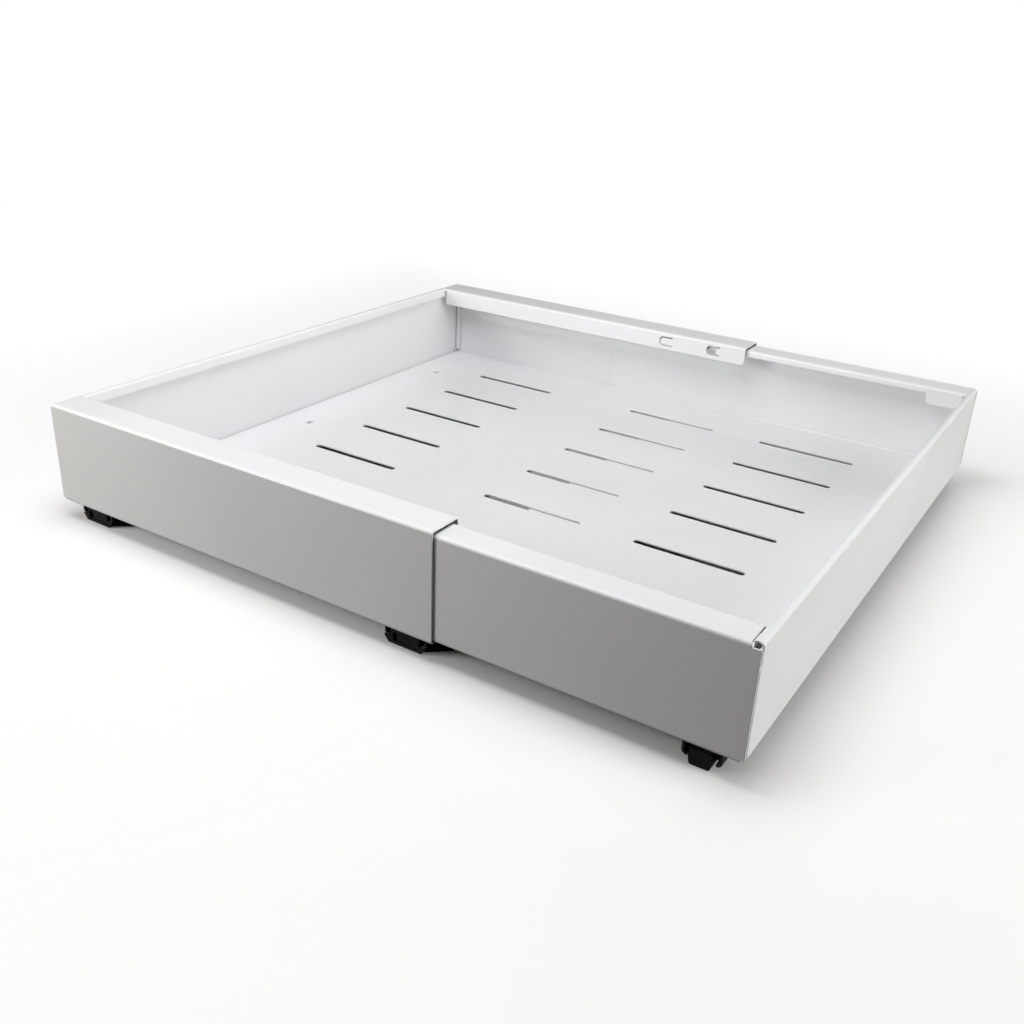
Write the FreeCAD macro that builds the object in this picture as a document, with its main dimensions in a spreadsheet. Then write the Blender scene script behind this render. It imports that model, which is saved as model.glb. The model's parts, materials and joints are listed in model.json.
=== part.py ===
import FreeCAD, Part
import os
import re
import Sketcher

# A pull-out tray drawer whose width adjusts: two folded-sheet halves, the right one nested in the
# left one, on three ball-bearing slides that lie flat under the floor and stand on plastic feet.
# Frame: X along the front, Y from the front wall to the back wall, Z up from the ground. The origin
# is under the middle of the tray. All sizes are in millimetres.

Vector = FreeCAD.Vector

SIZES = {
    # the tray as a whole
    "tray_width": 471,          # over both halves, as they stand at rest
    "tray_depth": 439,          # outer half, front face to back face
    "wall_height": 66,          # outer half, underside to top
    "half_width": 299,          # each half, along X
    "tray_lift": 12.5,          # ground to the outer half's underside
    "sheet": 1.0,               # steel sheet
    "bend_radius": 2.0,         # outside of every bend
    "floor_overlap": 3.0,       # side wall's share of the floor
    "nest_gap": 0.3,            # between nested walls and floors
    "top_gap": 1.4,             # between the two halves' top flanges
    "lip_gap": 2.4,             # between the two halves' lips
    # flanges, lips and hems of the halves
    "front_flange": 23,
    "front_lip": 12,
    "back_flange": 25,
    "back_lip": 14,
    "inner_lip": 4.8,
    "hem_width": 4.6,           # top return of each side wall
    "hem_lip": 7,
    "hem_radius": 1.8,
    "corner_tab": 6.5,          # tab of the side wall, welded behind the front and back walls
    "tab_clearance": 3.5,       # from a tab's ends to the floor and the flange
    "corner_radius": 1.6,       # outside of the bend into a tab; leaves an open seam
    "weld_radius": 1.3,         # beads that close the seam at two heights
    "weld_low": 2.4,
    "weld_high": 49.5,
    "flange_gap": 0.8,          # between the inner half's front flange and its side hem
    "relief_radius": 2.3,       # corner relief of the inner half
    "relief_inset": 0.9,        # from the front face to its middle
    "lip_start": 1.5,           # from the side hem to where the back lip starts
    "stop_tab_width": 25,       # deeper end of the inner half's back lip
    "stop_tab_depth": 12.8,
    # ventilation slots
    "slot_length": 74.3,
    "slot_width": 5,
    "slot_rows": 7,
    "column_pitch": 113.4,
    "first_row": 62.7,          # from the outer half's front face
    "last_row": 51.1,           # from its back face
    "outer_slot_inset": 64,     # from a half's outer side to its first column
    "inner_slot_inset": 67,
    # tongues in the outer half's lips
    "tongue_radius": 3.8,
    "tongue_length": 11.7,
    "tongue_slit": 1,
    "bent_tongue": 5,           # what is left of the tongue in each lip's window
    "tongue_bend": 25,          # degrees
    "slit_place": 224.3,        # from the outer half's left side
    "window_place": 266,
    "tongue_drop": 7.2,         # from the top of the wall to a tongue's middle
    # slides
    "wide_rail_width": 28,      # left and middle slides
    "slim_rail_width": 20.6,    # right slide
    "left_inset": 26,           # outer half's left side to the left slide's middle
    "middle_inset": 20.8,       # outer half's right end to the middle slide's middle
    "right_inset": 21,          # inner half's right side to the right slide's middle
    "rail_setback": 5,          # front wall to the upper rails' front end
    "rail_back": 14,            # upper rails' rear end to the back wall
    "rail_wall": 1.2,
    "rail_bend": 1.2,
    "ball_radius": 1.4,
    "race_gap": 0.15,
    "ball_drop": 5.2,           # slide's top to the balls' middle
    "groove_depth": 0.9,
    "lower_top": 2.5,           # slide's top to the lower rail's top
    "lower_wall": 2.0,
    "rail_stack": 9.1,          # slide's top to the lower rail's underside
    "hook_reach": 0.4,          # hook's end, inwards of the balls' middle
    "stop_length": 3,
    "cage_wall": 0.6,
    "cage_gap": 0.35,
    "cage_drop": 1.0,           # cage's side walls, below the balls' middle
    "cage_length": 101,
    "cage_start": 165,          # upper rail's front end to the cage
    "cage_bore_gap": 0.1,
    "ball_count": 7,
    "ball_pitch": 15,
    "ball_margin": 5.5,
    # feet
    "nose_start": 0.3,          # upper rail's front end to the foot's nose
    "nose_length": 6,
    "nose_drop": 3.2,           # slide's top to the nose's top
    "wide_shoulder": 14,        # half the nose's width just under the hooks
    "slim_shoulder": 5.9,
    "shoulder_drop": 8.3,       # slide's top to the shoulders
    "wide_nose": 11,            # half the nose's width at the ground
    "slim_nose": 5.2,
    "nose_ground": 0.2,
    "nose_shift": 0.9,          # slide's middle to the nose's middle, to the left
    "nose_corner": 1.2,
    "recess_rim": 3,            # side of a wide nose to the recess in its front
    "recess_floor": 1.8,
    "recess_depth": 1.5,
    "end_gap": 0.3,
    "pad_thickness": 0.6,
    "pad_inset": 1.0,
    "pad_setback": 6,           # start of the ears to the front pad
    "wide_ear": 23,             # half the width of a foot under a wide slide
    "slim_ear": 15,
    "wide_ear_start": 1.7,      # nose to where the ears start
    "slim_ear_start": 20,
    "ear_flare": 11,
    "foot_length": 46,
    "foot_corner": 8,
    "foot_hole_radius": 2.2,
    "foot_hole_spread": 5,      # foot's side to its mounting holes' middle
    "foot_hole_place": 28,      # start of the ears to the mounting holes
    "foot_sink_radius": 4.2,
    "foot_sink_depth": 2.0,
    "stop_plug": 5,
    "stop_head": 5,
    "stop_clearance": 0.1,
    # screws
    "tray_screw_radius": 2.0,
    "tray_screw_head": 3.2,
    "tray_screw_sink": 0.8,     # floor's top to the screws' top
    "dimple_radius": 8,         # pressed round each screw in the inner half's floor
    "tray_screw_first": 31.4,   # upper rail's front end to the first screw
    "tray_screw_last": 52.6,    # last screw to the upper rail's rear end
    "tray_screw_count": 3,
    "screw_clearance": 0.05,
    "cross_length": 3.8,
    "cross_width": 0.8,
    "cross_depth": 0.9,
    "foot_screw_radius": 1.5,
    "foot_screw_head": 2.7,
    "foot_screw_height": 1.6,
    "foot_screw_reach": 2.4,
    "foot_screw_pitch": 10,
}

# The inner half fits inside the outer one, so its sizes follow from the outer half's.
STEP = "(sheet + nest_gap)"
INNER_DEPTH = f"(tray_depth - 2 * {STEP})"
INNER_HEIGHT = f"(wall_height - {STEP} - sheet - top_gap)"
INNER_FRONT_FLANGE = f"(front_flange - {STEP} - sheet - lip_gap)"
INNER_BACK_FLANGE = f"(back_flange - {STEP} - sheet - lip_gap)"
ROW_PITCH = "((tray_depth - first_row - last_row) / (slot_rows - 1))"
RAIL_LENGTH = "(tray_depth - rail_setback - rail_back)"
TRAY_SCREW_SPAN = f"({RAIL_LENGTH} - tray_screw_first - tray_screw_last)"
RACE_RADIUS = "(ball_radius + race_gap)"
LEFT = "(-tray_width / 2)"
RIGHT = "(tray_width / 2)"
FRONT = "(-tray_depth / 2)"
BEND_INSIDE = "(bend_radius - sheet)"
HEM_INSIDE = "(hem_radius - sheet)"

doc = FreeCAD.newDocument("pull_out_tray")
sizes = doc.addObject("Spreadsheet::Sheet", "Sizes")
for row, (alias, number) in enumerate(SIZES.items(), start=1):
    sizes.set(f"A{row}", alias)
    sizes.set(f"B{row}", str(number))
    sizes.setAlias(f"B{row}", alias)
doc.recompute()


# ---------------------------------------------------------------- formulas on the sheet

def formula(text):
    """The text with each size's name written as a reference to its cell."""
    def reference(match):
        word = match.group()
        return f"Sizes.{word}" if word in SIZES else word
    return re.sub(r"[a-z_]+", reference, str(text))


def number(text):
    """What a formula is worth now."""
    return float(sizes.evalExpression(formula(text)))


def bind(item, prop, text):
    """Tie one property of an object to a formula on the sheet."""
    item.setExpression(prop, formula(text))


def place(item, x, y, z, label=None):
    """Put an object where three formulas say, and name it."""
    bind(item, "Placement.Base.x", x)
    bind(item, "Placement.Base.y", y)
    bind(item, "Placement.Base.z", z)
    if label:
        item.Label = label
    return item


def tray_screw_place(index):
    """A tray screw's place along its rail, from the rail's front end."""
    return f"(tray_screw_first + {index} * {TRAY_SCREW_SPAN} / (tray_screw_count - 1))"


def mirrored(side, near, far):
    """A stretch along X counted from a half's outer side: side is 1 on the left half, -1 on the right."""
    if side > 0:
        return near, far
    return f"-({far})", f"-({near})"


# ---------------------------------------------------------------- solids

def box(name, x, y, z):
    """A box from three (low, high) pairs of formulas."""
    item = doc.addObject("Part::Box", name)
    for prop, (low, high) in zip(("Length", "Width", "Height"), (x, y, z)):
        bind(item, prop, f"({high}) - ({low})")
    return place(item, x[0], y[0], z[0])


def cylinder(name, axis, radius, length, x, y, z):
    """A cylinder along X, Y or Z from the point (x, y, z)."""
    turns = {
        "X": FreeCAD.Rotation(Vector(0, 1, 0), 90),
        "Y": FreeCAD.Rotation(Vector(1, 0, 0), -90),
        "Z": FreeCAD.Rotation(),
    }
    item = doc.addObject("Part::Cylinder", name)
    item.Placement = FreeCAD.Placement(Vector(), turns[axis])
    bind(item, "Radius", radius)
    bind(item, "Height", length)
    return place(item, x, y, z)


def cone(name, low_radius, high_radius, height, x, y, z):
    """An upright cone from the point (x, y, z)."""
    item = doc.addObject("Part::Cone", name)
    bind(item, "Radius1", low_radius)
    bind(item, "Radius2", high_radius)
    bind(item, "Height", height)
    return place(item, x, y, z)


def fuse(name, items):
    """Several solids made one."""
    if len(items) == 1:
        return items[0]
    item = doc.addObject("Part::MultiFuse", name)
    item.Shapes = items
    item.Refine = True
    return item


def cut(name, base, tools):
    """The base less one tool or several."""
    item = doc.addObject("Part::Cut", name)
    item.Base = base
    item.Tool = fuse(name + "_tools", tools)
    item.Refine = True
    return item


def group(name, items):
    """Separate solids kept together in one node."""
    item = doc.addObject("Part::Compound", name)
    item.Links = items
    return item


# ---------------------------------------------------------------- bodies drawn from sketches

PLANES = {"XY": "XY_Plane", "XZ": "XZ_Plane", "YZ": "YZ_Plane"}


def new_sketch(body, name, plane, offset="0"):
    """A sketch on one of the body's own planes, moved along that plane's axis by a formula."""
    sketch = body.newObject("Sketcher::SketchObject", name)
    support = [item for item in body.Origin.OriginFeatures if item.Role == PLANES[plane]][0]
    sketch.AttachmentSupport = (support, [""])
    sketch.MapMode = "FlatFace"
    sign = "-" if plane == "XZ" else ""
    bind(sketch, "AttachmentOffset.Base.z", f"{sign}({offset}) * 1 mm")
    return sketch


def fix_point(sketch, curve, end, x, y):
    """Hold one point of a curve at two formulas."""
    for kind, text in (("DistanceX", x), ("DistanceY", y)):
        index = sketch.addConstraint(Sketcher.Constraint(kind, -1, 1, curve, end, number(text)))
        bind(sketch, f"Constraints[{index}]", f"({text}) * 1 mm")


def draw_outline(sketch, corners):
    """A closed outline of straight lines through (x, y) formulas."""
    points = [Vector(number(x), number(y), 0) for x, y in corners]
    first = sketch.GeometryCount
    count = len(points)
    for i in range(count):
        sketch.addGeometry(Part.LineSegment(points[i], points[(i + 1) % count]), False)
    for i in range(count):
        following = first + (i + 1) % count
        sketch.addConstraint(Sketcher.Constraint("Coincident", first + i, 2, following, 1))
    for i, (x, y) in enumerate(corners):
        fix_point(sketch, first + i, 1, x, y)


def draw_circle(sketch, x, y, radius):
    """A circle whose centre and radius are formulas."""
    middle = Vector(number(x), number(y), 0)
    index = sketch.addGeometry(Part.Circle(middle, Vector(0, 0, 1), number(radius)), False)
    fix_point(sketch, index, 3, x, y)
    size = sketch.addConstraint(Sketcher.Constraint("Radius", index, number(radius)))
    bind(sketch, f"Constraints[{size}]", f"({radius}) * 1 mm")


def draw_slot(sketch, low, high, y, radius):
    """A slot along X with round ends, from low to high."""
    start = f"({low}) + ({radius})"
    stop = f"({high}) - ({radius})"
    a, b, level, r = number(start), number(stop), number(y), number(radius)
    up = Vector(0, 0, 1)
    quarter = 1.5707963267948966
    first = sketch.GeometryCount
    left_end = Part.Circle(Vector(a, level, 0), up, r)
    right_end = Part.Circle(Vector(b, level, 0), up, r)
    sketch.addGeometry(Part.ArcOfCircle(left_end, quarter, 3 * quarter), False)
    sketch.addGeometry(Part.LineSegment(Vector(a, level - r, 0), Vector(b, level - r, 0)), False)
    sketch.addGeometry(Part.ArcOfCircle(right_end, -quarter, quarter), False)
    sketch.addGeometry(Part.LineSegment(Vector(b, level + r, 0), Vector(a, level + r, 0)), False)
    for i in range(4):
        following = first + (i + 1) % 4
        sketch.addConstraint(Sketcher.Constraint("Tangent", first + i, 2, following, 1))
    fix_point(sketch, first, 3, start, y)
    fix_point(sketch, first + 2, 3, stop, y)
    sketch.addConstraint(Sketcher.Constraint("Equal", first, first + 2))
    size = sketch.addConstraint(Sketcher.Constraint("Radius", first, r))
    bind(sketch, f"Constraints[{size}]", f"({radius}) * 1 mm")


def pad(body, name, plane, corners, start, length):
    """A straight-edged outline, padded from start along the plane's axis by length."""
    sketch = new_sketch(body, name + "_outline", plane, start)
    draw_outline(sketch, corners)
    feature = body.newObject("PartDesign::Pad", name)
    feature.Profile = sketch
    feature.Reversed = plane == "XZ"
    bind(feature, "Length", length)
    doc.recompute()
    return feature


def pocket(body, name, sketch, length):
    """What is drawn in the sketch, cut away to both sides of it by half the length."""
    before = body.Shape.Volume
    feature = body.newObject("PartDesign::Pocket", name)
    feature.Profile = sketch
    feature.Midplane = True
    bind(feature, "Length", length)
    doc.recompute()
    if not feature.Shape.Volume < before:
        raise RuntimeError(f"{name} cut nothing")
    return feature


def repeat(body, name, feature, role, span, count):
    """Copies of a feature in a row along one of the body's axes."""
    axis = [item for item in body.Origin.OriginFeatures if item.Role == role][0]
    pattern = body.newObject("PartDesign::LinearPattern", name)
    pattern.Originals = [feature]
    pattern.Direction = (axis, [""])
    bind(pattern, "Length", span)
    bind(pattern, "Occurrences", count)
    body.Tip = pattern
    doc.recompute()
    return pattern


def round_edges(body, name, feature, axis, places, radius):
    """Round the edges that run along an axis (0, 1 or 2) through the given places across it."""
    across = [i for i in range(3) if i != axis]
    wanted = [tuple(number(part) for part in where) for where in places]
    names = []
    for index, edge in enumerate(feature.Shape.Edges, start=1):
        ends = [vertex.Point for vertex in edge.Vertexes]
        if len(ends) != 2 or edge.Curve.TypeId != "Part::GeomLine":
            continue
        if any(abs(ends[0][i] - ends[1][i]) > 1e-6 for i in across):
            continue
        here = [ends[0][i] for i in across]
        if any(abs(here[0] - u) < 1e-4 and abs(here[1] - v) < 1e-4 for u, v in wanted):
            names.append(f"Edge{index}")
    if len(names) < len(wanted):
        raise RuntimeError(f"{name} found {len(names)} of {len(wanted)} edges")
    rounding = body.newObject("PartDesign::Fillet", name)
    rounding.Base = (feature, names)
    bind(rounding, "Radius", radius)
    doc.recompute()
    if rounding.Shape.isNull():
        raise RuntimeError(f"{name} failed")
    return rounding


# ---------------------------------------------------------------- the two tray halves

def make_tray(label, side, depth, height, front, front_lip, back, back_lip, first_row, inset):
    """One folded half in its own frame: outer side at X = 0, front face at Y = 0, underside at Z = 0.

    The long profile is the floor with the front and back walls, their top flanges and lips. The side
    profile is the side wall with its hem. Corner tabs of the side wall are welded behind the others.
    """
    low, high = mirrored(side, "bend_radius", "half_width")
    long_body = doc.addObject("PartDesign::Body", label + "_long")
    section = [
        (front, f"{height} - {front_lip}"), (front, height), ("0", height), ("0", "0"),
        (depth, "0"), (depth, height), (f"{depth} - {back}", height),
        (f"{depth} - {back}", f"{height} - {back_lip}"),
        (f"{depth} - {back} + sheet", f"{height} - {back_lip}"),
        (f"{depth} - {back} + sheet", f"{height} - sheet"), (f"{depth} - sheet", f"{height} - sheet"),
        (f"{depth} - sheet", "sheet"), ("sheet", "sheet"), ("sheet", f"{height} - sheet"),
        (f"{front} - sheet", f"{height} - sheet"), (f"{front} - sheet", f"{height} - {front_lip}"),
    ]
    feature = pad(long_body, label + "_folds", "YZ", section, low, f"({high}) - ({low})")
    outside = [section[i] for i in (1, 2, 3, 4, 5, 6)]
    inside = [section[i] for i in (9, 10, 11, 12, 13, 14)]
    feature = round_edges(long_body, label + "_outer_bends", feature, 0, outside, "bend_radius")
    feature = round_edges(long_body, label + "_inner_bends", feature, 0, inside, BEND_INSIDE)
    end = high if side > 0 else low
    corner = [(end, f"{height} - {back_lip}")]
    feature = round_edges(long_body, label + "_lip_corner", feature, 1, corner, "2.5")

    slots = new_sketch(long_body, label + "_slot_pair", "XY")
    for column in ("0", "column_pitch"):
        near, far = mirrored(side, f"{inset} + {column}", f"{inset} + {column} + slot_length")
        draw_slot(slots, near, far, first_row, "slot_width / 2")
    row = pocket(long_body, label + "_slot_row", slots, "3 * sheet")
    repeat(long_body, label + "_slot_rows", row, "Y_Axis", f"{ROW_PITCH} * (slot_rows - 1)", "slot_rows")

    side_body = doc.addObject("PartDesign::Body", label + "_side")
    sign = "" if side > 0 else "-"
    hem = [
        ("0", "0"), ("0", height), (f"{sign}hem_width", height),
        (f"{sign}hem_width", f"{height} - hem_lip"), (f"{sign}(hem_width - sheet)", f"{height} - hem_lip"),
        (f"{sign}(hem_width - sheet)", f"{height} - sheet"), (f"{sign}sheet", f"{height} - sheet"),
        (f"{sign}sheet", "sheet"), (f"{sign}floor_overlap", "sheet"), (f"{sign}floor_overlap", "0"),
    ]
    start = "(sheet + corner_radius)"
    wall = pad(side_body, label + "_side_wall", "XZ", hem, start, f"{depth} - 2 * {start}")
    wall = round_edges(side_body, label + "_side_bends", wall, 1, [hem[0]], "bend_radius")
    wall = round_edges(side_body, label + "_hem_bends", wall, 1, [hem[1], hem[2]], "hem_radius")
    wall = round_edges(side_body, label + "_hem_insides", wall, 1, [hem[5], hem[6]], HEM_INSIDE)

    pieces = [side_body]
    end_x = mirrored(side, "0", "bend_radius")
    end_z = ("bend_radius", f"{height} - bend_radius")
    for where, face, inward in (("front", "0", ""), ("back", depth, "-")):
        pieces.append(corner_tab(f"{label}_{where}", sign, face, inward, height))
        wall_y = sorted((face, f"{face} + {inward}sheet"), key=number)
        pieces.append(box(f"{label}_{where}_end", end_x, wall_y, end_z))
        for bead in ("weld_low", "weld_high"):
            ball = doc.addObject("Part::Sphere", f"{label}_{where}_{bead}")
            bind(ball, "Radius", "weld_radius")
            pieces.append(place(ball, f"{sign}weld_radius", f"{face} + {inward}(sheet + 0.7)", bead))
    return long_body, pieces


def corner_tab(name, sign, face, inward, height):
    """The side wall's end, bent in behind the front or back wall. It leaves a seam on the corner."""
    def along(reach):
        return f"{face} + {inward}({reach})"
    body = doc.addObject("PartDesign::Body", name + "_tab_body")
    outline = [
        ("0", along("sheet + corner_radius")), (f"{sign}corner_radius", along("sheet")),
        (f"{sign}corner_tab", along("sheet")), (f"{sign}corner_tab", along("2 * sheet")),
        (f"{sign}corner_radius", along("2 * sheet")), (f"{sign}sheet", along("sheet + corner_radius")),
        (f"{sign}sheet", along("sheet + corner_radius + 1")), ("0", along("sheet + corner_radius + 1")),
    ]
    feature = pad(body, name + "_tab", "XY", outline, "tab_clearance", f"{height} - 2 * tab_clearance")
    round_edges(body, name + "_tab_bend", feature, 2, outline[:2], "sheet")
    return body


def screw_sinks(label, x, y_shift, drop="0"):
    """Countersunk holes through a floor for the screws that hold one slide."""
    tools = []
    for i in range(SIZES["tray_screw_count"]):
        y = f"{tray_screw_place(i)} + {y_shift}"
        low = "tray_screw_radius + screw_clearance"
        reach = "(tray_screw_head - tray_screw_radius + tray_screw_sink)"
        tools.append(cone(f"{label}_sink_{i + 1}", low, f"{low} + {reach}", reach, x, y,
                          f"sheet - {reach} - {drop}"))
    return tools


def lip_tongues(label, wall_side, low_y):
    """Cuts for one lip of the outer half: a slit round a flat tongue, and a window with a bent one."""
    lip_y = (f"{low_y} - 1", f"{low_y} + sheet + 1")
    middle = "wall_height - tongue_drop"
    window = ("window_place", "window_place + tongue_length")
    slit = ("slit_place", "slit_place + tongue_length")
    round_z = (f"{middle} - tongue_radius", f"{middle} + tongue_radius")
    inner_z = (f"{middle} - tongue_radius + tongue_slit", f"{middle} + tongue_radius - tongue_slit")
    slit_x, window_x = f"{slit[0]} + tongue_radius", f"{window[0]} + tongue_radius"
    slit_solid = fuse(label + "_slit_outside", [
        box(label + "_slit_bar", (slit_x, slit[1]), lip_y, round_z),
        cylinder(label + "_slit_end", "Y", "tongue_radius", "sheet + 2", slit_x, lip_y[0], middle),
    ])
    slit_core = fuse(label + "_slit_inside", [
        box(label + "_slit_core_bar", (slit_x, f"{slit[1]} + 1"), lip_y, inner_z),
        cylinder(label + "_slit_core_end", "Y", "tongue_radius - tongue_slit", "sheet + 2",
                 slit_x, lip_y[0], middle),
    ])
    cuts = [
        cut(label + "_slit_cut", slit_solid, [slit_core]),
        box(label + "_window_bar", (window_x, window[1]), lip_y, round_z),
        cylinder(label + "_window_end", "Y", "tongue_radius", "sheet + 2", window_x, lip_y[0], middle),
    ]
    tongue = doc.addObject("Part::Box", label + "_bent_tongue")
    turn = 180 - wall_side * number("tongue_bend")
    tongue.Placement = FreeCAD.Placement(Vector(), FreeCAD.Rotation(Vector(0, 0, 1), turn))
    bind(tongue, "Length", "bent_tongue")
    bind(tongue, "Width", "sheet")
    bind(tongue, "Height", "2 * (tongue_radius - tongue_slit)")
    place(tongue, f"{window[1]} + sheet", f"{low_y} + sheet", inner_z[0])
    return cuts, tongue


def make_outer_tray():
    """The left half, which wraps round the right one."""
    long_body, pieces = make_tray("outer", 1, "tray_depth", "wall_height", "front_flange", "front_lip",
                                  "back_flange", "back_lip", "first_row", "outer_slot_inset")
    lip_y = ("tray_depth - back_flange - 1", "tray_depth - back_flange + sheet + 1")
    lip_z = ("wall_height - back_lip - 1", "wall_height - bend_radius")
    back_cuts, back_tongue = lip_tongues("back_lip", 1, "tray_depth - back_flange")
    front_cuts, front_tongue = lip_tongues("front_lip", -1, "front_flange - sheet")
    lip_end = box("outer_lip_end", ("0", "hem_width + lip_start"), lip_y, lip_z)
    trimmed = cut("outer_trimmed", long_body, [lip_end] + back_cuts + front_cuts)
    whole = fuse("outer_whole", [trimmed, back_tongue, front_tongue] + pieces)
    sinks = screw_sinks("left", "left_inset", "rail_setback")
    sinks += screw_sinks("middle", "half_width - middle_inset", "rail_setback")
    tray = cut("outer_tray_cut", whole, sinks)
    return place(tray, LEFT, FRONT, "tray_lift", "outer_tray")


def make_inner_tray():
    """The right half, nested inside the left one."""
    long_body, pieces = make_tray("inner", -1, INNER_DEPTH, INNER_HEIGHT, INNER_FRONT_FLANGE, "inner_lip",
                                  INNER_BACK_FLANGE, "inner_lip", f"first_row - {STEP}",
                                  "inner_slot_inset")
    lip_back = f"{INNER_DEPTH} - {INNER_BACK_FLANGE}"
    flange_x = mirrored(-1, "hem_width", "hem_width + flange_gap")
    flange_z = (f"{INNER_HEIGHT} - inner_lip - 1", f"{INNER_HEIGHT} + 1")
    lip_x = mirrored(-1, "0", "hem_width + lip_start")
    lip_z = (f"{INNER_HEIGHT} - inner_lip - 1", f"{INNER_HEIGHT} - bend_radius")
    tab_x = mirrored(-1, "hem_width + lip_start", "hem_width + lip_start + stop_tab_width")
    trimmed = cut("inner_trimmed", long_body, [
        box("inner_flange_gap", flange_x, ("sheet", f"{INNER_FRONT_FLANGE} + 1"), flange_z),
        box("inner_lip_end", lip_x, (f"{lip_back} - 1", f"{lip_back} + sheet + 1"), lip_z),
    ])
    stop_body = doc.addObject("PartDesign::Body", "inner_stop")
    stop_z = (f"{INNER_HEIGHT} - stop_tab_depth", f"{INNER_HEIGHT} - inner_lip + 0.5")
    outline = [(tab_x[0], stop_z[0]), (tab_x[1], stop_z[0]), (tab_x[1], stop_z[1]), (tab_x[0], stop_z[1])]
    stop = pad(stop_body, "inner_stop_tab", "XZ", outline, lip_back, "sheet")
    round_edges(stop_body, "inner_stop_corner", stop, 1, [outline[0]], "3")
    whole = fuse("inner_whole", [trimmed, stop_body] + pieces)
    tools = [cylinder("inner_relief", "Z", "relief_radius", "bend_radius + 3", "-relief_radius - 0.4",
                      "relief_inset", f"{INNER_HEIGHT} - bend_radius - 0.4")]
    bosses = []
    for i in range(SIZES["tray_screw_count"]):
        y = f"{tray_screw_place(i)} + rail_setback - {STEP}"
        bosses.append(cylinder(f"boss_{i}", "Z", "dimple_radius", f"{STEP} + 0.5", "-right_inset", y,
                               f"-{STEP}"))
        tools.append(cylinder(f"dimple_{i}", "Z", "dimple_radius - sheet", f"{STEP} + 1", "-right_inset",
                              y, f"sheet - {STEP}"))
    whole = fuse("inner_with_bosses", [whole] + bosses)
    tools += screw_sinks("right", "-right_inset", f"rail_setback - {STEP}", STEP)
    tray = cut("inner_tray_cut", whole, tools)
    return place(tray, RIGHT, f"{FRONT} + {STEP}", f"tray_lift + {STEP}", "inner_tray")


# ---------------------------------------------------------------- one slide
# A slide's own frame has its middle at X = 0, its upper rail's front end at Y = 0 and its top,
# against the tray's underside, at Z = 0.

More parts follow.
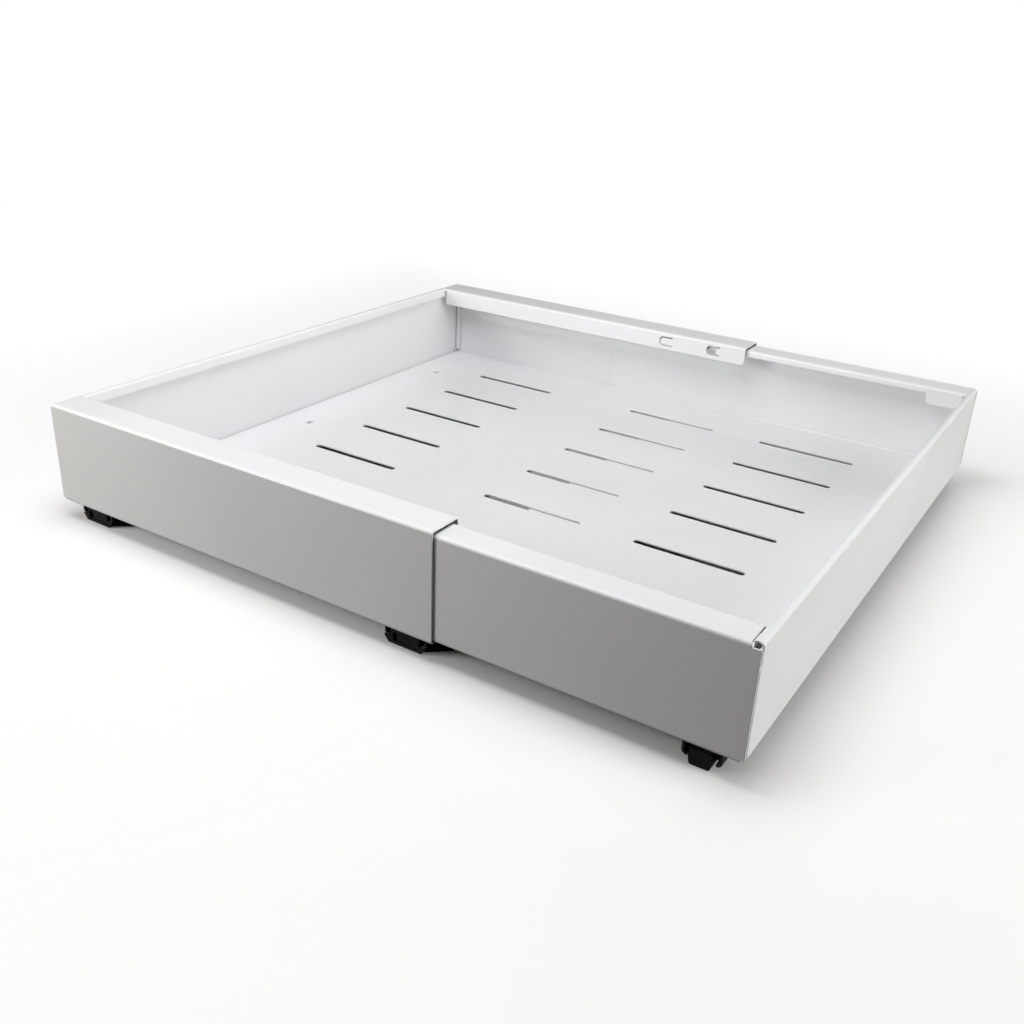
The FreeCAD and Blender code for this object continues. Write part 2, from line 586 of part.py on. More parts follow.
class Slide:
    """One flat ball-bearing slide with its feet and screws."""

    def __init__(self, name, kind, x):
        self.name = name
        self.half = f"({kind}_rail_width / 2)"
        self.ear = f"{kind}_ear"
        self.ear_start = f"(nose_start + {kind}_ear_start)"
        self.shoulder = f"{kind}_shoulder"
        self.nose = f"{kind}_nose"
        self.hollow_nose = kind == "wide"
        self.where = (x, f"{FRONT} + rail_setback", "tray_lift")
        self.ball_x = f"({self.half} - rail_wall - {RACE_RADIUS})"
        self.lower_half = f"({self.ball_x} - {RACE_RADIUS} + groove_depth)"
        self.lower_front = "(nose_start + nose_length + end_gap)"
        self.web_top = "(-rail_stack + rail_wall)"
        self.rear_foot = f"({RAIL_LENGTH} - foot_length)"

    def keep(self, item, piece):
        return place(item, *self.where, label=f"{self.name}_{piece}")

    def both(self, text):
        """A stretch along X to both sides of the middle."""
        return f"-({text})", text

    def around_nose(self, text):
        """A stretch along X to both sides of the nose's middle."""
        return f"-({text}) - nose_shift", f"{text} - nose_shift"

    def races(self, piece, radius, low, high):
        """The two round ball tracks, as cylinders along the slide."""
        tracks = []
        for hand, x in (("left", f"-{self.ball_x}"), ("right", self.ball_x)):
            name = f"{self.name}_{piece}_{hand}"
            tracks.append(cylinder(name, "Y", radius, f"({high}) - ({low})", x, low, "-ball_drop"))
        return tracks

    def ball_places(self):
        return [f"cage_start + ball_margin + {i} * ball_pitch" for i in range(SIZES["ball_count"])]

    def upper_rail(self):
        """Channel that opens down, with hooks that curl under the balls."""
        n = self.name
        along = ("0", RAIL_LENGTH)
        shell = doc.addObject("PartDesign::Body", n + "_upper_shell")
        top = [(f"-{self.half}", "-ball_drop"), (self.half, "-ball_drop"),
               (self.half, "0"), (f"-{self.half}", "0")]
        block = pad(shell, n + "_upper_block", "XZ", top, "0", RAIL_LENGTH)
        round_edges(shell, n + "_upper_bends", block, 1, [top[2], top[3]], "rail_bend")
        outside = fuse(n + "_upper_outside", [shell] + self.races(
            "hook", f"{RACE_RADIUS} + rail_wall", *along))
        inside = [
            box(n + "_upper_hollow", self.both(f"{self.half} - rail_wall"), ("-1", f"{RAIL_LENGTH} + 1"),
                ("-ball_drop", "-rail_wall")),
            box(n + "_upper_mouth", self.both(f"{self.ball_x} - hook_reach"), ("-1", f"{RAIL_LENGTH} + 1"),
                (f"-ball_drop - {RACE_RADIUS} - rail_wall - 1", "-ball_drop")),
        ] + self.races("upper_race", RACE_RADIUS, "-1", f"{RAIL_LENGTH} + 1")
        for i in range(SIZES["tray_screw_count"]):
            y = tray_screw_place(i)
            reach = "(tray_screw_head - tray_screw_radius + tray_screw_sink)"
            low = "tray_screw_radius + screw_clearance"
            inside.append(cone(f"{n}_web_sink_{i}", low, f"{low} + {reach}", reach, "0", y,
                               f"sheet - {reach}"))
            inside.append(cylinder(f"{n}_web_hole_{i}", "Z", low, "rail_wall + 1", "0", y,
                                   "-rail_wall - 0.5"))
        channel = cut(n + "_channel", outside, inside)
        stops = []
        for hand, sign in (("left", "-"), ("right", "")):
            near, far = f"{self.ball_x} - cage_wall / 2", f"{self.half} - rail_wall / 2"
            x = (near, far) if sign == "" else (f"-({far})", f"-({near})")
            stops.append(box(f"{n}_{hand}_stop", x, (f"{RAIL_LENGTH} - stop_length", RAIL_LENGTH),
                             ("-ball_drop - 1", "-ball_drop + 1")))
        self.keep(fuse(n + "_upper_rail_solid", [channel] + stops), "upper_rail")

    def lower_rail(self):
        """Channel that opens up, with a ball groove down each side, screwed to the feet."""
        n = self.name
        along = (self.lower_front, RAIL_LENGTH)
        blank = box(n + "_lower_blank", self.both(self.lower_half), along, ("-rail_stack", "-lower_top"))
        tools = [box(n + "_lower_hollow", self.both(f"{self.lower_half} - lower_wall"),
                     (f"{self.lower_front} - 1", f"{RAIL_LENGTH} + 1"), (self.web_top, "-lower_top + 1"))]
        tools += self.races("lower_race", RACE_RADIUS, f"{self.lower_front} - 1", f"{RAIL_LENGTH} + 1")
        for i, y in enumerate(self.foot_screw_places()):
            tools.append(cylinder(f"{n}_lower_hole_{i}", "Z", "foot_screw_radius + screw_clearance",
                                  "rail_wall + 2", "0", y, "-rail_stack - 1"))
        self.keep(cut(n + "_lower_rail_solid", blank, tools), "lower_rail")

    def ball_cage(self):
        """Thin strip folded over the lower rail, with a hole for each ball."""
        n = self.name
        body = doc.addObject("PartDesign::Body", n + "_cage_body")
        out, into = f"{self.ball_x} + cage_wall / 2", f"{self.ball_x} - cage_wall / 2"
        top, web = "-rail_wall - cage_gap", "-rail_wall - cage_gap - cage_wall"
        foot = "-ball_drop - cage_drop"
        outline = [(f"-({out})", foot), (f"-({into})", foot), (f"-({into})", web), (into, web),
                   (into, foot), (out, foot), (out, top), (f"-({out})", top)]
        pad(body, n + "_cage_strip", "XZ", outline, "cage_start", "cage_length")
        sketch = new_sketch(body, n + "_cage_bore", "YZ")
        draw_circle(sketch, "cage_start + ball_margin", "-ball_drop", "ball_radius + cage_bore_gap")
        bore = pocket(body, n + "_cage_hole", sketch, f"2 * ({out}) + 2")
        repeat(body, n + "_cage_holes", bore, "Y_Axis", "ball_pitch * (ball_count - 1)", "ball_count")
        self.keep(body, "ball_cage")

    def balls(self):
        """Both rows of balls."""
        spheres = []
        for hand, x in (("left", f"-{self.ball_x}"), ("right", self.ball_x)):
            for i, y in enumerate(self.ball_places()):
                ball = doc.addObject("Part::Sphere", f"{self.name}_{hand}_ball_{i}")
                bind(ball, "Radius", "ball_radius")
                spheres.append(place(ball, x, y, "-ball_drop"))
        self.keep(group(self.name + "_ball_rows", spheres), "balls")

    def plan(self, start, end, flare, inset):
        """A foot's outline seen from above: ears that widen behind the start."""
        side = f"{self.ear} - {inset}"
        low, high = start, f"{end} - {inset}"
        narrow = f"{self.nose} - {inset}"
        if flare:
            left, right = self.around_nose(narrow)
            return [(left, low), (right, low), (side, f"{low} + ear_flare"), (side, high),
                    (f"-({side})", high), (f"-({side})", f"{low} + ear_flare")]
        return [(f"-({side})", low), (side, low), (side, high), (f"-({side})", high)]

    def foot_plate(self, piece, start, end, flare, low, high, inset, setback):
        """A plate of the foot's outline between two heights, with round corners and ear holes."""
        n = f"{self.name}_{piece}"
        body = doc.addObject("PartDesign::Body", n + "_body")
        outline = self.plan(f"{start} + {setback}", end, flare, inset)
        plate = pad(body, n + "_plate", "XY", outline, low, f"({high}) - ({low})")
        corners = outline[2:] if flare else outline
        round_edges(body, n + "_corners", plate, 2, corners, "foot_corner")
        sketch = new_sketch(body, n + "_hole_pair", "XY", low)
        hole = "foot_sink_radius" if inset != "0" else "foot_hole_radius"
        for x in self.both(f"{self.ear} - foot_hole_spread"):
            draw_circle(sketch, x, f"{start} + foot_hole_place", hole)
        pocket(body, n + "_holes", sketch, f"3 * (({high}) - ({low}))")
        return body

    def foot_screw_places(self):
        front = f"{self.ear_start} + foot_hole_place - foot_screw_pitch"
        rear = f"{self.rear_foot} + foot_hole_place - foot_screw_pitch"
        return [front, f"{front} + 2 * foot_screw_pitch", rear, f"{rear} + 2 * foot_screw_pitch"]

    def feet(self):
        """Front foot with its nose, rear foot, and the adhesive pads they stand on."""
        n = self.name
        ground = "-tray_lift"
        under, top = f"{ground} + pad_thickness", "-rail_stack"
        ends = {
            "front": (self.ear_start, f"{self.ear_start} + foot_length", True),
            "rear": (self.rear_foot, RAIL_LENGTH, False),
        }
        for which, (start, end, flare) in ends.items():
            plate = self.foot_plate(f"{which}_foot", start, end, flare, under, top, "0", "0")
            pieces = [plate]
            if which == "front":
                nose = doc.addObject("PartDesign::Body", n + "_nose_body")
                low = f"{ground} + nose_ground"
                left_neck, right_neck = self.around_nose(f"({self.lower_half} - nose_shift - 0.2)")
                left_nose, right_nose = self.around_nose(self.nose)
                left_shoulder, right_shoulder = self.around_nose(self.shoulder)
                outline = [(left_nose, low), (right_nose, low), (right_shoulder, "-shoulder_drop"),
                           (right_neck, "-shoulder_drop"), (right_neck, "-nose_drop"),
                           (left_neck, "-nose_drop"), (left_neck, "-shoulder_drop"),
                           (left_shoulder, "-shoulder_drop")]
                front = pad(nose, n + "_nose", "XZ", outline, "nose_start", "nose_length")
                round_edges(nose, n + "_nose_corners", front, 1, outline[:2], "nose_corner")
                pieces.append(nose)
                neck_y = ("nose_start + nose_length - 1", f"{start} + ear_flare")
                pieces.append(box(n + "_neck", (left_nose, right_nose), neck_y, (under, top)))
            tools = []
            if which == "front" and self.hollow_nose:
                tools.append(box(n + "_recess", self.around_nose(f"{self.nose} - recess_rim"),
                                 ("nose_start - 1", "nose_start + recess_depth"),
                                 (f"{low} + recess_floor", "-nose_drop - recess_floor")))
            for i, x in enumerate(self.both(f"{self.ear} - foot_hole_spread")):
                tools.append(cone(f"{n}_{which}_sink_{i}", "foot_hole_radius", "foot_sink_radius",
                                  "foot_sink_depth", x, f"{start} + foot_hole_place",
                                  f"{top} - foot_sink_depth"))
            for i, y in enumerate(self.foot_screw_places()):
                if (which == "front") == (i < 2):
                    tools.append(cylinder(f"{n}_{which}_pilot_{i}", "Z",
                                          "foot_screw_radius + screw_clearance / 2",
                                          "foot_screw_reach + 1", "0", y, f"{top} - foot_screw_reach - 0.2"))
            foot = cut(f"{n}_{which}_foot_solid", fuse(f"{n}_{which}_foot_whole", pieces), tools)
            self.keep(foot, f"{which}_foot")
            setback = "pad_setback" if flare else "pad_inset"
            pad_body = self.foot_plate(f"{which}_pad", start, end, flare, ground, under, "pad_inset",
                                       setback)
            self.keep(pad_body, f"{which}_pad")

    def end_stop(self):
        """Rubber stop plugged into the lower rail's rear end, behind the upper rail."""
        n = self.name
        plug = box(n + "_stop_plug", self.both(f"{self.lower_half} - lower_wall - stop_clearance"),
                   (f"{RAIL_LENGTH} - stop_plug", f"{RAIL_LENGTH} + end_gap + 1"),
                   (f"{self.web_top} + stop_clearance", "-lower_top - 0.5"))
        head = doc.addObject("PartDesign::Body", n + "_stop_head_body")
        wide = f"({self.half} - 1)"
        outline = [(f"-{wide}", "-rail_stack"), (wide, "-rail_stack"), (wide, "-rail_wall"),
                   (f"-{wide}", "-rail_wall")]
        block = pad(head, n + "_stop_head", "XZ", outline, f"{RAIL_LENGTH} + end_gap", "stop_head")
        round_edges(head, n + "_stop_corners", block, 1, outline, "1.5")
        self.keep(fuse(n + "_end_stop_solid", [plug, head]), "end_stop")

    def cross(self, name, y, top):
        """The two bars of a cross recess in a screw head."""
        half, thin = "cross_length / 2", "cross_width / 2"
        height = (f"{top} - cross_depth", f"{top} + 1")
        return [
            box(name + "_bar_x", self.both(half), (f"{y} - {thin}", f"{y} + {thin}"), height),
            box(name + "_bar_y", self.both(thin), (f"{y} - {half}", f"{y} + {half}"), height),
        ]

    def tray_screws(self):
        """Countersunk screws that hold the upper rail to the floor."""
        screws = []
        reach = "(tray_screw_head - tray_screw_radius)"
        top = "(sheet - tray_screw_sink)"
        for i in range(SIZES["tray_screw_count"]):
            n = f"{self.name}_tray_screw_{i}"
            y = tray_screw_place(i)
            head = cone(n + "_head", "tray_screw_radius", "tray_screw_head", reach, "0", y,
                        f"{top} - {reach}")
            shank = cylinder(n + "_shank", "Z", "tray_screw_radius", f"rail_wall + {top} - {reach}",
                             "0", y, "-rail_wall")
            screws.append(cut(n, fuse(n + "_blank", [head, shank]), self.cross(n, y, top)))
        self.keep(group(self.name + "_tray_screw_row", screws), "tray_screws")

    def foot_screws(self):
        """Pan-head screws that hold the lower rail to the feet."""
        screws = []
        top = f"({self.web_top} + foot_screw_height)"
        for i, y in enumerate(self.foot_screw_places()):
            n = f"{self.name}_foot_screw_{i}"
            head = cylinder(n + "_head", "Z", "foot_screw_head", "foot_screw_height", "0", y, self.web_top)
            shank = cylinder(n + "_shank", "Z", "foot_screw_radius", "rail_wall + foot_screw_reach",
                             "0", y, "-rail_stack - foot_screw_reach")
            screws.append(cut(n, fuse(n + "_blank", [head, shank]), self.cross(n, y, top)))
        self.keep(group(self.name + "_foot_screw_row", screws), "foot_screws")

    def make(self):
        self.upper_rail()
        self.lower_rail()
        self.ball_cage()
        self.balls()
        self.feet()
        self.end_stop()
        self.tray_screws()
        self.foot_screws()


make_outer_tray()
make_inner_tray()
SLIDES = [
    Slide("left", "wide", f"{LEFT} + left_inset"),
    Slide("middle", "wide", f"{LEFT} + half_width - middle_inset"),
    Slide("right", "slim", f"{RIGHT} - right_inset"),
]
for slide in SLIDES:
    slide.make()
doc.recompute()

# ---------------------------------------------------------------- check everything, then write

NODES = ["outer_tray", "inner_tray"]
PIECES = ["upper_rail", "lower_rail", "ball_cage", "balls", "front_foot", "rear_foot", "front_pad",
          "rear_pad", "end_stop", "tray_screws", "foot_screws"]
NODES += [f"{slide.name}_{piece}" for slide in SLIDES for piece in PIECES]

for item in doc.Objects:
    if "Invalid" in item.State or "Error" in item.State:
        raise RuntimeError(f"{item.Name} failed: {item.State}")

os.makedirs("parts", exist_ok=True)
for node in NODES:
    item = doc.getObjectsByLabel(node)[0]
    shape = item.Shape
    if shape.isNull() or not shape.isValid():
        raise RuntimeError(f"{node} has no valid shape")
    shape.exportStep(f"parts/{node}.step")
    print(f"{node}: {len(shape.Solids)} solids, {shape.Volume:.0f} mm3, {shape.BoundBox}")
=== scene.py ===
import json
import math

import bmesh
import bpy
from mathutils import Matrix, Vector


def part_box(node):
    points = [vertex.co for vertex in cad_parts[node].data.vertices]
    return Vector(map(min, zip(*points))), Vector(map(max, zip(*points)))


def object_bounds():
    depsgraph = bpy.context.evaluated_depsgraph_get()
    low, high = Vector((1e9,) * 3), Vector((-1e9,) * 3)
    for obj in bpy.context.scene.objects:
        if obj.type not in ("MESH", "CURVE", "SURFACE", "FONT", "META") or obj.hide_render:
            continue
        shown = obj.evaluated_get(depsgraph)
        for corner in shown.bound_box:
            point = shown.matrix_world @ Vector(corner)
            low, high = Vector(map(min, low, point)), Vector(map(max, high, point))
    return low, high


# The looks of a pull-out tray drawer: white powder-coated sheet on black ball-bearing slides.
# Everything is in metres, in the part's own frame: X along the front, Y to the back, Z up.

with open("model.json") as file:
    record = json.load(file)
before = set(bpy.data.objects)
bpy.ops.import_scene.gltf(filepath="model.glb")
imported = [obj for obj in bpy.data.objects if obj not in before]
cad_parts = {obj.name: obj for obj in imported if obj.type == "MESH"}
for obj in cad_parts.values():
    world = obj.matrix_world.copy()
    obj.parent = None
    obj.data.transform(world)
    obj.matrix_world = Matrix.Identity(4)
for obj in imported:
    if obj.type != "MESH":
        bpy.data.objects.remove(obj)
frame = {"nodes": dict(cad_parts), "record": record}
cad_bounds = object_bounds()


# ---------------------------------------------------------------- material building

class Shader:
    """Builds one procedural material, node by node."""

    def __init__(self, name):
        self.material = bpy.data.materials.new(name)
        self.material.use_nodes = True
        self.tree = self.material.node_tree
        self.tree.nodes.clear()
        self.output = self.add("ShaderNodeOutputMaterial")
        self.surface = self.add("ShaderNodeBsdfPrincipled")
        self.join(self.surface.outputs["BSDF"], self.output.inputs["Surface"])
        self.place = self.add("ShaderNodeTexCoord").outputs["Object"]
        self.normal = None

    def add(self, kind, **settings):
        node = self.tree.nodes.new(kind)
        for key, value in settings.items():
            setattr(node, key, value)
        return node

    def join(self, output, socket):
        self.tree.links.new(output, socket)

    def set(self, **values):
        """Plain numbers and colours straight on the shader's own sockets."""
        for name, value in values.items():
            self.surface.inputs[name.replace("_", " ")].default_value = value

    def away(self, axis, *places):
        """How far the surface is, along one axis, from the nearest of some places."""
        split = self.add("ShaderNodeSeparateXYZ")
        self.join(self.place, split.inputs[0])
        gaps = [self.math("ABSOLUTE", self.math("SUBTRACT", split.outputs[axis], place))
                for place in places]
        while len(gaps) > 1:
            gaps.append(self.math("MINIMUM", gaps.pop(), gaps.pop()))
        return gaps[0]

    def stretched(self, scale):
        """The coordinates scaled along X, Y and Z, for brushed or drawn grain."""
        mapping = self.add("ShaderNodeMapping")
        mapping.inputs["Scale"].default_value = scale
        self.join(self.place, mapping.inputs["Vector"])
        return mapping.outputs["Vector"]

    def noise(self, size, detail=2.0, along=None, distortion=0.0):
        """Cloudy noise whose features are about this size, in metres."""
        node = self.add("ShaderNodeTexNoise")
        node.inputs["Scale"].default_value = 1.0 / size
        node.inputs["Detail"].default_value = detail
        node.inputs["Distortion"].default_value = distortion
        self.join(along or self.place, node.inputs["Vector"])
        return node.outputs["Fac"]

    def cells(self, size):
        """Distance to the nearest cell centre, cells of about this size."""
        node = self.add("ShaderNodeTexVoronoi")
        node.inputs["Scale"].default_value = 1.0 / size
        self.join(self.place, node.inputs["Vector"])
        return node.outputs["Distance"]

    def remap(self, value, low, high, to_low, to_high):
        node = self.add("ShaderNodeMapRange")
        node.clamp = True
        for name, number in (("From Min", low), ("From Max", high),
                             ("To Min", to_low), ("To Max", to_high)):
            node.inputs[name].default_value = number
        self.join(value, node.inputs["Value"])
        return node.outputs["Result"]

    def math(self, operation, a, b=0.0):
        node = self.add("ShaderNodeMath", operation=operation)
        for socket, value in zip(node.inputs, (a, b)):
            if isinstance(value, (int, float)):
                socket.default_value = value
            else:
                self.join(value, socket)
        return node.outputs[0]

    def edges(self, radius):
        """1 on outside and inside edges, 0 on flats."""
        bevel = self.add("ShaderNodeBevel", samples=6)
        bevel.inputs["Radius"].default_value = radius
        geometry = self.add("ShaderNodeNewGeometry")
        dot = self.add("ShaderNodeVectorMath", operation="DOT_PRODUCT")
        self.join(bevel.outputs["Normal"], dot.inputs[0])
        self.join(geometry.outputs["Normal"], dot.inputs[1])
        return self.remap(self.math("SUBTRACT", 1.0, dot.outputs["Value"]), 0.02, 0.25, 0.0, 1.0)

    def soften(self, radius):
        """Rounds the shading of every cut edge, as a coat of paint does."""
        bevel = self.add("ShaderNodeBevel", samples=4)
        bevel.inputs["Radius"].default_value = radius
        self.normal = bevel.outputs["Normal"]

    def corners(self, distance, samples=8):
        """1 where the surface is open, less in corners and seams."""
        occlusion = self.add("ShaderNodeAmbientOcclusion", samples=samples)
        occlusion.inputs["Distance"].default_value = distance
        return occlusion.outputs["AO"]

    def blend(self, amount, first, second):
        """A colour between two; each is a colour or another socket."""
        node = self.add("ShaderNodeMix", data_type="RGBA")
        for socket, value in ((node.inputs[6], first), (node.inputs[7], second)):
            if isinstance(value, tuple):
                socket.default_value = (*value, 1.0)
            else:
                self.join(value, socket)
        self.join(amount, node.inputs[0])
        return node.outputs[2]

    def colour(self, value):
        self.join(value, self.surface.inputs["Base Color"])

    def roughness(self, value):
        self.join(value, self.surface.inputs["Roughness"])

    def bump(self, height, depth):
        """Adds relief on top of what is there already; depth in metres."""
        node = self.add("ShaderNodeBump")
        node.inputs["Distance"].default_value = depth
        self.join(height, node.inputs["Height"])
        if self.normal:
            self.join(self.normal, node.inputs["Normal"])
        self.normal = node.outputs["Normal"]
        self.join(self.normal, self.surface.inputs["Normal"])


# The open seam at a tray's outer corner, painted near-black as shade: behind the front or back wall's
# edge, where the side wall bends in. Two weld beads cross it, at heights above the tray's underside.
SHEET = 0.001
SEAM_DEPTH = 0.0016
SEAM_WIDTH = 0.0011
SEAM_WELDS = (0.0024, 0.0495)
WELD_HALF_HEIGHT = 0.0012
DIMPLE_DROP = {"outer_tray": 0.0, "inner_tray": 0.0013}
SEAM_SHADE_FADE = 0.0003


def painted_seam_shade(s, node):
    """1 in the open seams at a tray's two outer corners, which get near-black painted shade for the shadow
    in the gap.
    """
    low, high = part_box(node)
    underside = low[2] + DIMPLE_DROP[node]
    side = high[0] if high[0] > -low[0] else low[0]
    beside = s.remap(s.away(0, side), SEAM_DEPTH, SEAM_DEPTH + SEAM_SHADE_FADE, 1.0, 0.0)
    behind = s.away(1, low[1], high[1])
    past_wall = s.remap(behind, SHEET, SHEET + 0.00005, 0.0, 1.0)
    in_seam = s.remap(behind, SHEET + SEAM_WIDTH, SHEET + SEAM_WIDTH + 0.0004, 1.0, 0.0)
    from_weld = s.away(2, *(underside + weld for weld in SEAM_WELDS))
    unwelded = s.remap(from_weld, WELD_HALF_HEIGHT, WELD_HALF_HEIGHT + SEAM_SHADE_FADE, 0.0, 1.0)
    return s.math("MULTIPLY", s.math("MULTIPLY", beside, past_wall),
                  s.math("MULTIPLY", in_seam, unwelded))


def white_powder_coat(node):
    """Satin powder coat: orange peel and a fine grain, with painted highlights on the rounded edges and
    painted shade in corners and seams.
    """
    s = Shader(f"white_powder_coat_{node}")
    s.set(IOR=1.5, Coat_Weight=0.12, Coat_Roughness=0.28)
    s.soften(0.0005)
    cloudy = s.noise(0.11, 3.0)
    tone = s.blend(s.remap(cloudy, 0.3, 0.7, 0.0, 1.0), (0.8, 0.806, 0.814), (0.83, 0.836, 0.844))
    speck = s.remap(s.noise(0.0006, 1.0), 0.66, 0.8, 0.0, 0.3)
    tone = s.blend(speck, tone, (0.66, 0.67, 0.68))
    # Painted highlight: the rounded edges are made paler, patchy along their length, as if they were
    # catching the light.
    edge = s.math("MULTIPLY", s.edges(0.0005), s.remap(s.noise(0.006, 3.0), 0.35, 0.65, 0.35, 0.9))
    tone = s.blend(edge, tone, (0.93, 0.935, 0.94))
    # Painted shade: corners, recesses and spots under other parts are darkened by ambient occlusion, first
    # to grey and then to near-black.
    painted_corner_shade = s.corners(0.006, 12)
    tone = s.blend(s.remap(painted_corner_shade, 0.3, 0.85, 0.25, 0.0), tone, (0.5, 0.5, 0.51))
    tone = s.blend(s.remap(painted_corner_shade, 0.15, 0.5, 0.95, 0.0), tone, (0.03, 0.03, 0.031))
    # Painted shade: a near-black line at the foot of every step, crease and seam, from short-range ambient
    # occlusion.
    seam = s.remap(s.corners(0.0015), 0.2, 0.62, 0.9, 0.0)
    tone = s.blend(seam, tone, (0.05, 0.05, 0.051))
    # Near-black painted shade in the open corner seams, standing in for the shadow in the gap.
    s.colour(s.blend(painted_seam_shade(s, node), tone, (0.035, 0.035, 0.036)))
    fine = s.remap(s.noise(0.004, 4.0), 0.3, 0.7, 0.36, 0.47)
    s.roughness(s.math("ADD", fine, s.remap(cloudy, 0.3, 0.7, -0.03, 0.04)))
    s.bump(s.noise(0.0026, 1.5), 0.00004)
    s.bump(s.noise(0.0007, 1.0), 0.000012)
    return s.material


def black_steel():
    """Electro-coated steel rail, with drawing lines along it and bright worn edges."""
    s = Shader("black_coated_steel")
    s.set(IOR=1.5, Coat_Weight=0.25, Coat_Roughness=0.2)
    drawn = s.noise(0.002, 3.0, along=s.stretched((1.0, 0.02, 1.0)))
    tone = s.blend(s.remap(drawn, 0.3, 0.7, 0.0, 1.0), (0.014, 0.014, 0.016), (0.03, 0.03, 0.033))
    wear = s.math("MULTIPLY", s.edges(0.0004), s.remap(s.noise(0.003, 4.0), 0.5, 0.66, 0.0, 1.0))
    s.colour(s.blend(wear, tone, (0.34, 0.34, 0.35)))
    s.join(s.remap(wear, 0.3, 0.9, 0.0, 0.9), s.surface.inputs["Metallic"])
    s.roughness(s.remap(s.noise(0.005, 4.0), 0.3, 0.7, 0.3, 0.46))
    s.bump(drawn, 0.00002)
    s.bump(s.noise(0.0008, 2.0), 0.00001)
    return s.material


def cage_strip():
    """Plain cold-rolled strip with rolling lines and an oil film."""
    s = Shader("rolled_steel_strip")
    s.set(Metallic=1.0, Anisotropic=0.5)
    lines = s.noise(0.0012, 4.0, along=s.stretched((1.0, 0.015, 1.0)))
    film = s.noise(0.014, 3.0)
    tone = s.blend(s.remap(lines, 0.3, 0.7, 0.0, 1.0), (0.42, 0.42, 0.43), (0.62, 0.62, 0.62))
    s.colour(s.blend(s.remap(film, 0.45, 0.65, 0.0, 0.4), tone, (0.4, 0.38, 0.33)))
    s.roughness(s.remap(film, 0.3, 0.7, 0.24, 0.42))
    s.bump(lines, 0.000015)
    return s.material


def ball_steel():
    """Polished balls with a film of grease."""
    s = Shader("polished_ball_steel")
    s.set(Metallic=1.0, Coat_Weight=0.3, Coat_Roughness=0.15)
    grease = s.remap(s.noise(0.0015, 3.0), 0.45, 0.65, 0.0, 1.0)
    s.colour(s.blend(grease, (0.7, 0.71, 0.73), (0.5, 0.48, 0.42)))
    s.roughness(s.remap(grease, 0.0, 1.0, 0.06, 0.25))
    s.bump(s.noise(0.0006, 3.0), 0.000006)
    return s.material


def moulded_plastic():
    """Dark moulded plastic with a spark-eroded grain and paler rubbed edges."""
    s = Shader("grained_dark_plastic")
    s.set(IOR=1.49, Specular_IOR_Level=0.35)
    flow = s.noise(0.02, 2.0, distortion=0.6)
    tone = s.blend(s.remap(flow, 0.3, 0.7, 0.0, 1.0), (0.009, 0.009, 0.01), (0.016, 0.016, 0.017))
    rub = s.math("MULTIPLY", s.edges(0.0006), s.remap(s.noise(0.002, 3.0), 0.45, 0.65, 0.0, 0.7))
    s.colour(s.blend(rub, tone, (0.07, 0.07, 0.073)))
    s.roughness(s.remap(s.noise(0.0012, 3.0), 0.3, 0.7, 0.46, 0.62))
    s.bump(s.cells(0.0004), 0.00002)
    s.bump(s.noise(0.0009, 3.0), 0.00002)
    return s.material


def foam_pad():
    """Closed-cell foam with open cut cells on its edge."""
    s = Shader("closed_cell_foam")
    cells = s.cells(0.0006)
    tone = s.blend(s.remap(cells, 0.2, 0.7, 0.0, 1.0), (0.035, 0.035, 0.036), (0.08, 0.08, 0.08))
    s.colour(s.blend(s.remap(s.noise(0.01, 3.0), 0.4, 0.7, 0.0, 0.4), tone, (0.1, 0.1, 0.1)))
    s.roughness(s.remap(s.noise(0.003, 2.0), 0.3, 0.7, 0.82, 0.95))
    s.bump(cells, 0.0001)
    return s.material


def stop_rubber():
    """Moulded rubber with a slight bloom."""
    s = Shader("moulded_stop_rubber")
    bloom = s.remap(s.noise(0.006, 4.0), 0.42, 0.7, 0.0, 1.0)
    s.colour(s.blend(bloom, (0.016, 0.016, 0.016), (0.045, 0.045, 0.047)))
    s.roughness(s.remap(bloom, 0.0, 1.0, 0.6, 0.8))
    s.bump(s.noise(0.0006, 3.0), 0.00003)
    return s.material


def screw_steel():
    """Black zinc screws, bright where the driver has rubbed the recess."""
    s = Shader("black_zinc_screws")
    s.set(Metallic=0.9)
    patch = s.noise(0.0012, 4.0)
    tone = s.blend(s.remap(patch, 0.35, 0.65, 0.0, 1.0), (0.07, 0.07, 0.075), (0.15, 0.15, 0.155))
    wear = s.math("MULTIPLY", s.edges(0.0002), s.remap(s.noise(0.0008, 3.0), 0.4, 0.6, 0.0, 1.0))
    s.colour(s.blend(wear, tone, (0.5, 0.5, 0.5)))
    s.roughness(s.remap(patch, 0.3, 0.7, 0.28, 0.45))
    s.bump(s.noise(0.0004, 3.0), 0.00001)
    return s.material


def zinc_steel():
    """Bright zinc screws with a pale passivated bloom."""
    s = Shader("bright_zinc_screws")
    s.set(Metallic=1.0)
    bloom = s.noise(0.0014, 4.0)
    tone = s.blend(s.remap(bloom, 0.35, 0.65, 0.0, 1.0), (0.72, 0.73, 0.75), (0.86, 0.86, 0.85))
    s.colour(tone)
    s.roughness(s.remap(bloom, 0.3, 0.7, 0.3, 0.5))
    s.bump(s.noise(0.0005, 3.0), 0.00001)
    return s.material


FINISHES = {
    "black_steel": black_steel(),
    "cage_steel": cage_strip(),
    "ball_steel": ball_steel(),
    "foot_plastic": moulded_plastic(),
    "pad_rubber": foam_pad(),
    "stop_rubber": stop_rubber(),
    "screw_steel": screw_steel(),
    "zinc_steel": zinc_steel(),
}


def give_material(piece, material):
    piece.data.materials.clear()
    piece.data.materials.append(material)


for entry in frame["record"]["subparts"]:
    node = entry["node"]
    if entry["material_slot"] == "white_coat":
        give_material(frame["nodes"][node], white_powder_coat(node))
    else:
        give_material(frame["nodes"][node], FINISHES[entry["material_slot"]])


# ---------------------------------------------------------------- floor, light and camera

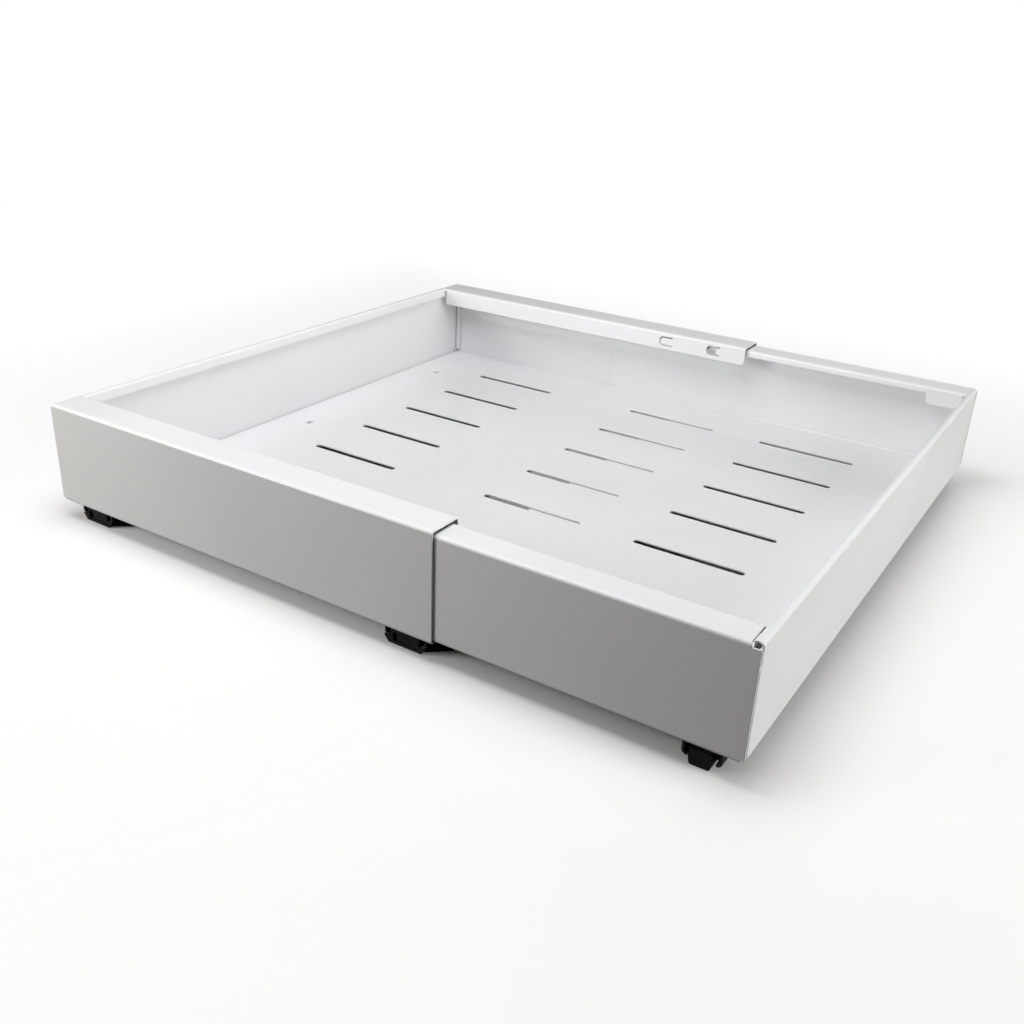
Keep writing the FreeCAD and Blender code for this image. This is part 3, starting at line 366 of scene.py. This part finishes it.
def studio_floor():
    """A pale floor that fades to white away from the part and throws little light back up."""
    mesh = bpy.data.meshes.new("studio_floor")
    shape = bmesh.new()
    bmesh.ops.create_grid(shape, x_segments=1, y_segments=1, size=60.0)
    shape.to_mesh(mesh)
    shape.free()
    floor = bpy.data.objects.new("studio_floor", mesh)
    bpy.context.scene.collection.objects.link(floor)
    s = Shader("pale_floor")
    seen = s.add("ShaderNodeLightPath").outputs["Is Camera Ray"]
    pale = s.blend(s.remap(s.noise(0.05, 2.0), 0.3, 0.7, 0.0, 1.0), (0.93, 0.93, 0.93), (0.95, 0.95, 0.95))
    s.colour(s.blend(seen, (0.12, 0.12, 0.12), pale))
    s.set(Roughness=0.9, Specular_IOR_Level=0.1)
    glow = s.add("ShaderNodeEmission")
    fade = s.add("ShaderNodeMixShader")
    split = s.add("ShaderNodeSeparateXYZ")
    s.join(s.place, split.inputs[0])
    beyond = [s.math("SUBTRACT", s.math("ABSOLUTE", split.outputs[i]), cad_bounds[1][i])
              for i in range(2)]
    outside = s.math("MAXIMUM", *beyond)
    # Over the part's footprint it is plain; 50 mm outside it is mostly white, and 350 mm outside wholly.
    near = s.remap(outside, -0.02, 0.05, 0.0, 0.6)
    far = s.remap(outside, 0.05, 0.35, 0.0, 0.4)
    s.join(s.math("ADD", near, far), fade.inputs["Fac"])
    s.join(s.surface.outputs["BSDF"], fade.inputs[1])
    s.join(glow.outputs["Emission"], fade.inputs[2])
    s.join(seen, glow.inputs["Strength"])
    s.join(fade.outputs["Shader"], s.output.inputs["Surface"])
    give_material(floor, s.material)


def soft_light(name, place, aim, size, power, colour):
    """A square area light at a place, turned to a point."""
    data = bpy.data.lights.new(name, "AREA")
    data.shape = "SQUARE"
    data.size = size
    data.energy = power
    data.color = colour
    light = bpy.data.objects.new(name, data)
    light.location = place
    light.rotation_euler = (Vector(aim) - Vector(place)).to_track_quat("-Z", "Y").to_euler()
    bpy.context.scene.collection.objects.link(light)


def studio_world(strength):
    """Even light all round, with a white backdrop behind it."""
    world = bpy.data.worlds.new("studio_world")
    world.use_nodes = True
    tree = world.node_tree
    background = tree.nodes["Background"]
    background.inputs["Color"].default_value = (1.0, 1.0, 1.0, 1.0)
    seen = tree.nodes.new("ShaderNodeLightPath")
    level = tree.nodes.new("ShaderNodeMapRange")
    level.inputs["To Min"].default_value = strength
    level.inputs["To Max"].default_value = 1.0
    tree.links.new(seen.outputs["Is Camera Ray"], level.inputs["Value"])
    tree.links.new(level.outputs["Result"], background.inputs["Strength"])
    bpy.context.scene.world = world


def studio_camera(place, azimuth, elevation, roll, lens):
    """A camera that looks along an azimuth (from +Y towards +X) and elevation, rolled about its axis."""
    az, el, turn = (math.radians(angle) for angle in (azimuth, elevation, roll))
    forward = Vector((math.sin(az) * math.cos(el), math.cos(az) * math.cos(el), math.sin(el)))
    level = Vector((math.cos(az), -math.sin(az), 0.0))
    upright = level.cross(forward)
    right = math.cos(turn) * level + math.sin(turn) * upright
    up = math.cos(turn) * upright - math.sin(turn) * level
    data = bpy.data.cameras.new("camera")
    data.lens = lens
    data.sensor_width = 36.0
    data.clip_start = 0.01
    camera = bpy.data.objects.new("camera", data)
    camera.matrix_world = Matrix.Translation(place) @ Matrix((right, up, -forward)).transposed().to_4x4()
    bpy.context.scene.collection.objects.link(camera)
    bpy.context.scene.camera = camera


studio_floor()
studio_world(0.02)
soft_light("top_light", (0.0, 0.0, 1.5), (0.0, 0.0, 0.0), 1.4, 3.9, (1.0, 0.95, 0.87))
soft_light("right_light", (1.6, 0.1, 0.7), (0.2, 0.0, 0.03), 0.9, 8.7, (1.0, 0.975, 0.99))
soft_light("right_low_light", (1.3, 0.1, 0.05), (0.2, 0.0, 0.05), 0.4, 13.8, (1.0, 1.0, 0.96))
soft_light("back_light", (0.0, 1.7, 1.2), (0.0, 0.0, 0.03), 1.0, 6.2, (0.96, 0.97, 1.0))
soft_light("left_front_light", (-0.6, -0.75, 0.3), (-0.2, -0.22, 0.04), 0.35, 4.5, (1.0, 0.975, 0.93))
soft_light("inside_light", (-0.05, -0.2, 0.6), (0.0, 0.22, 0.03), 0.4, 2.75, (0.95, 0.97, 1.0))
studio_camera((0.3461, -0.6007, 0.3129), -31.832, -25.103, 2.515, 37.51)
bpy.context.scene.view_settings.view_transform = "Standard"
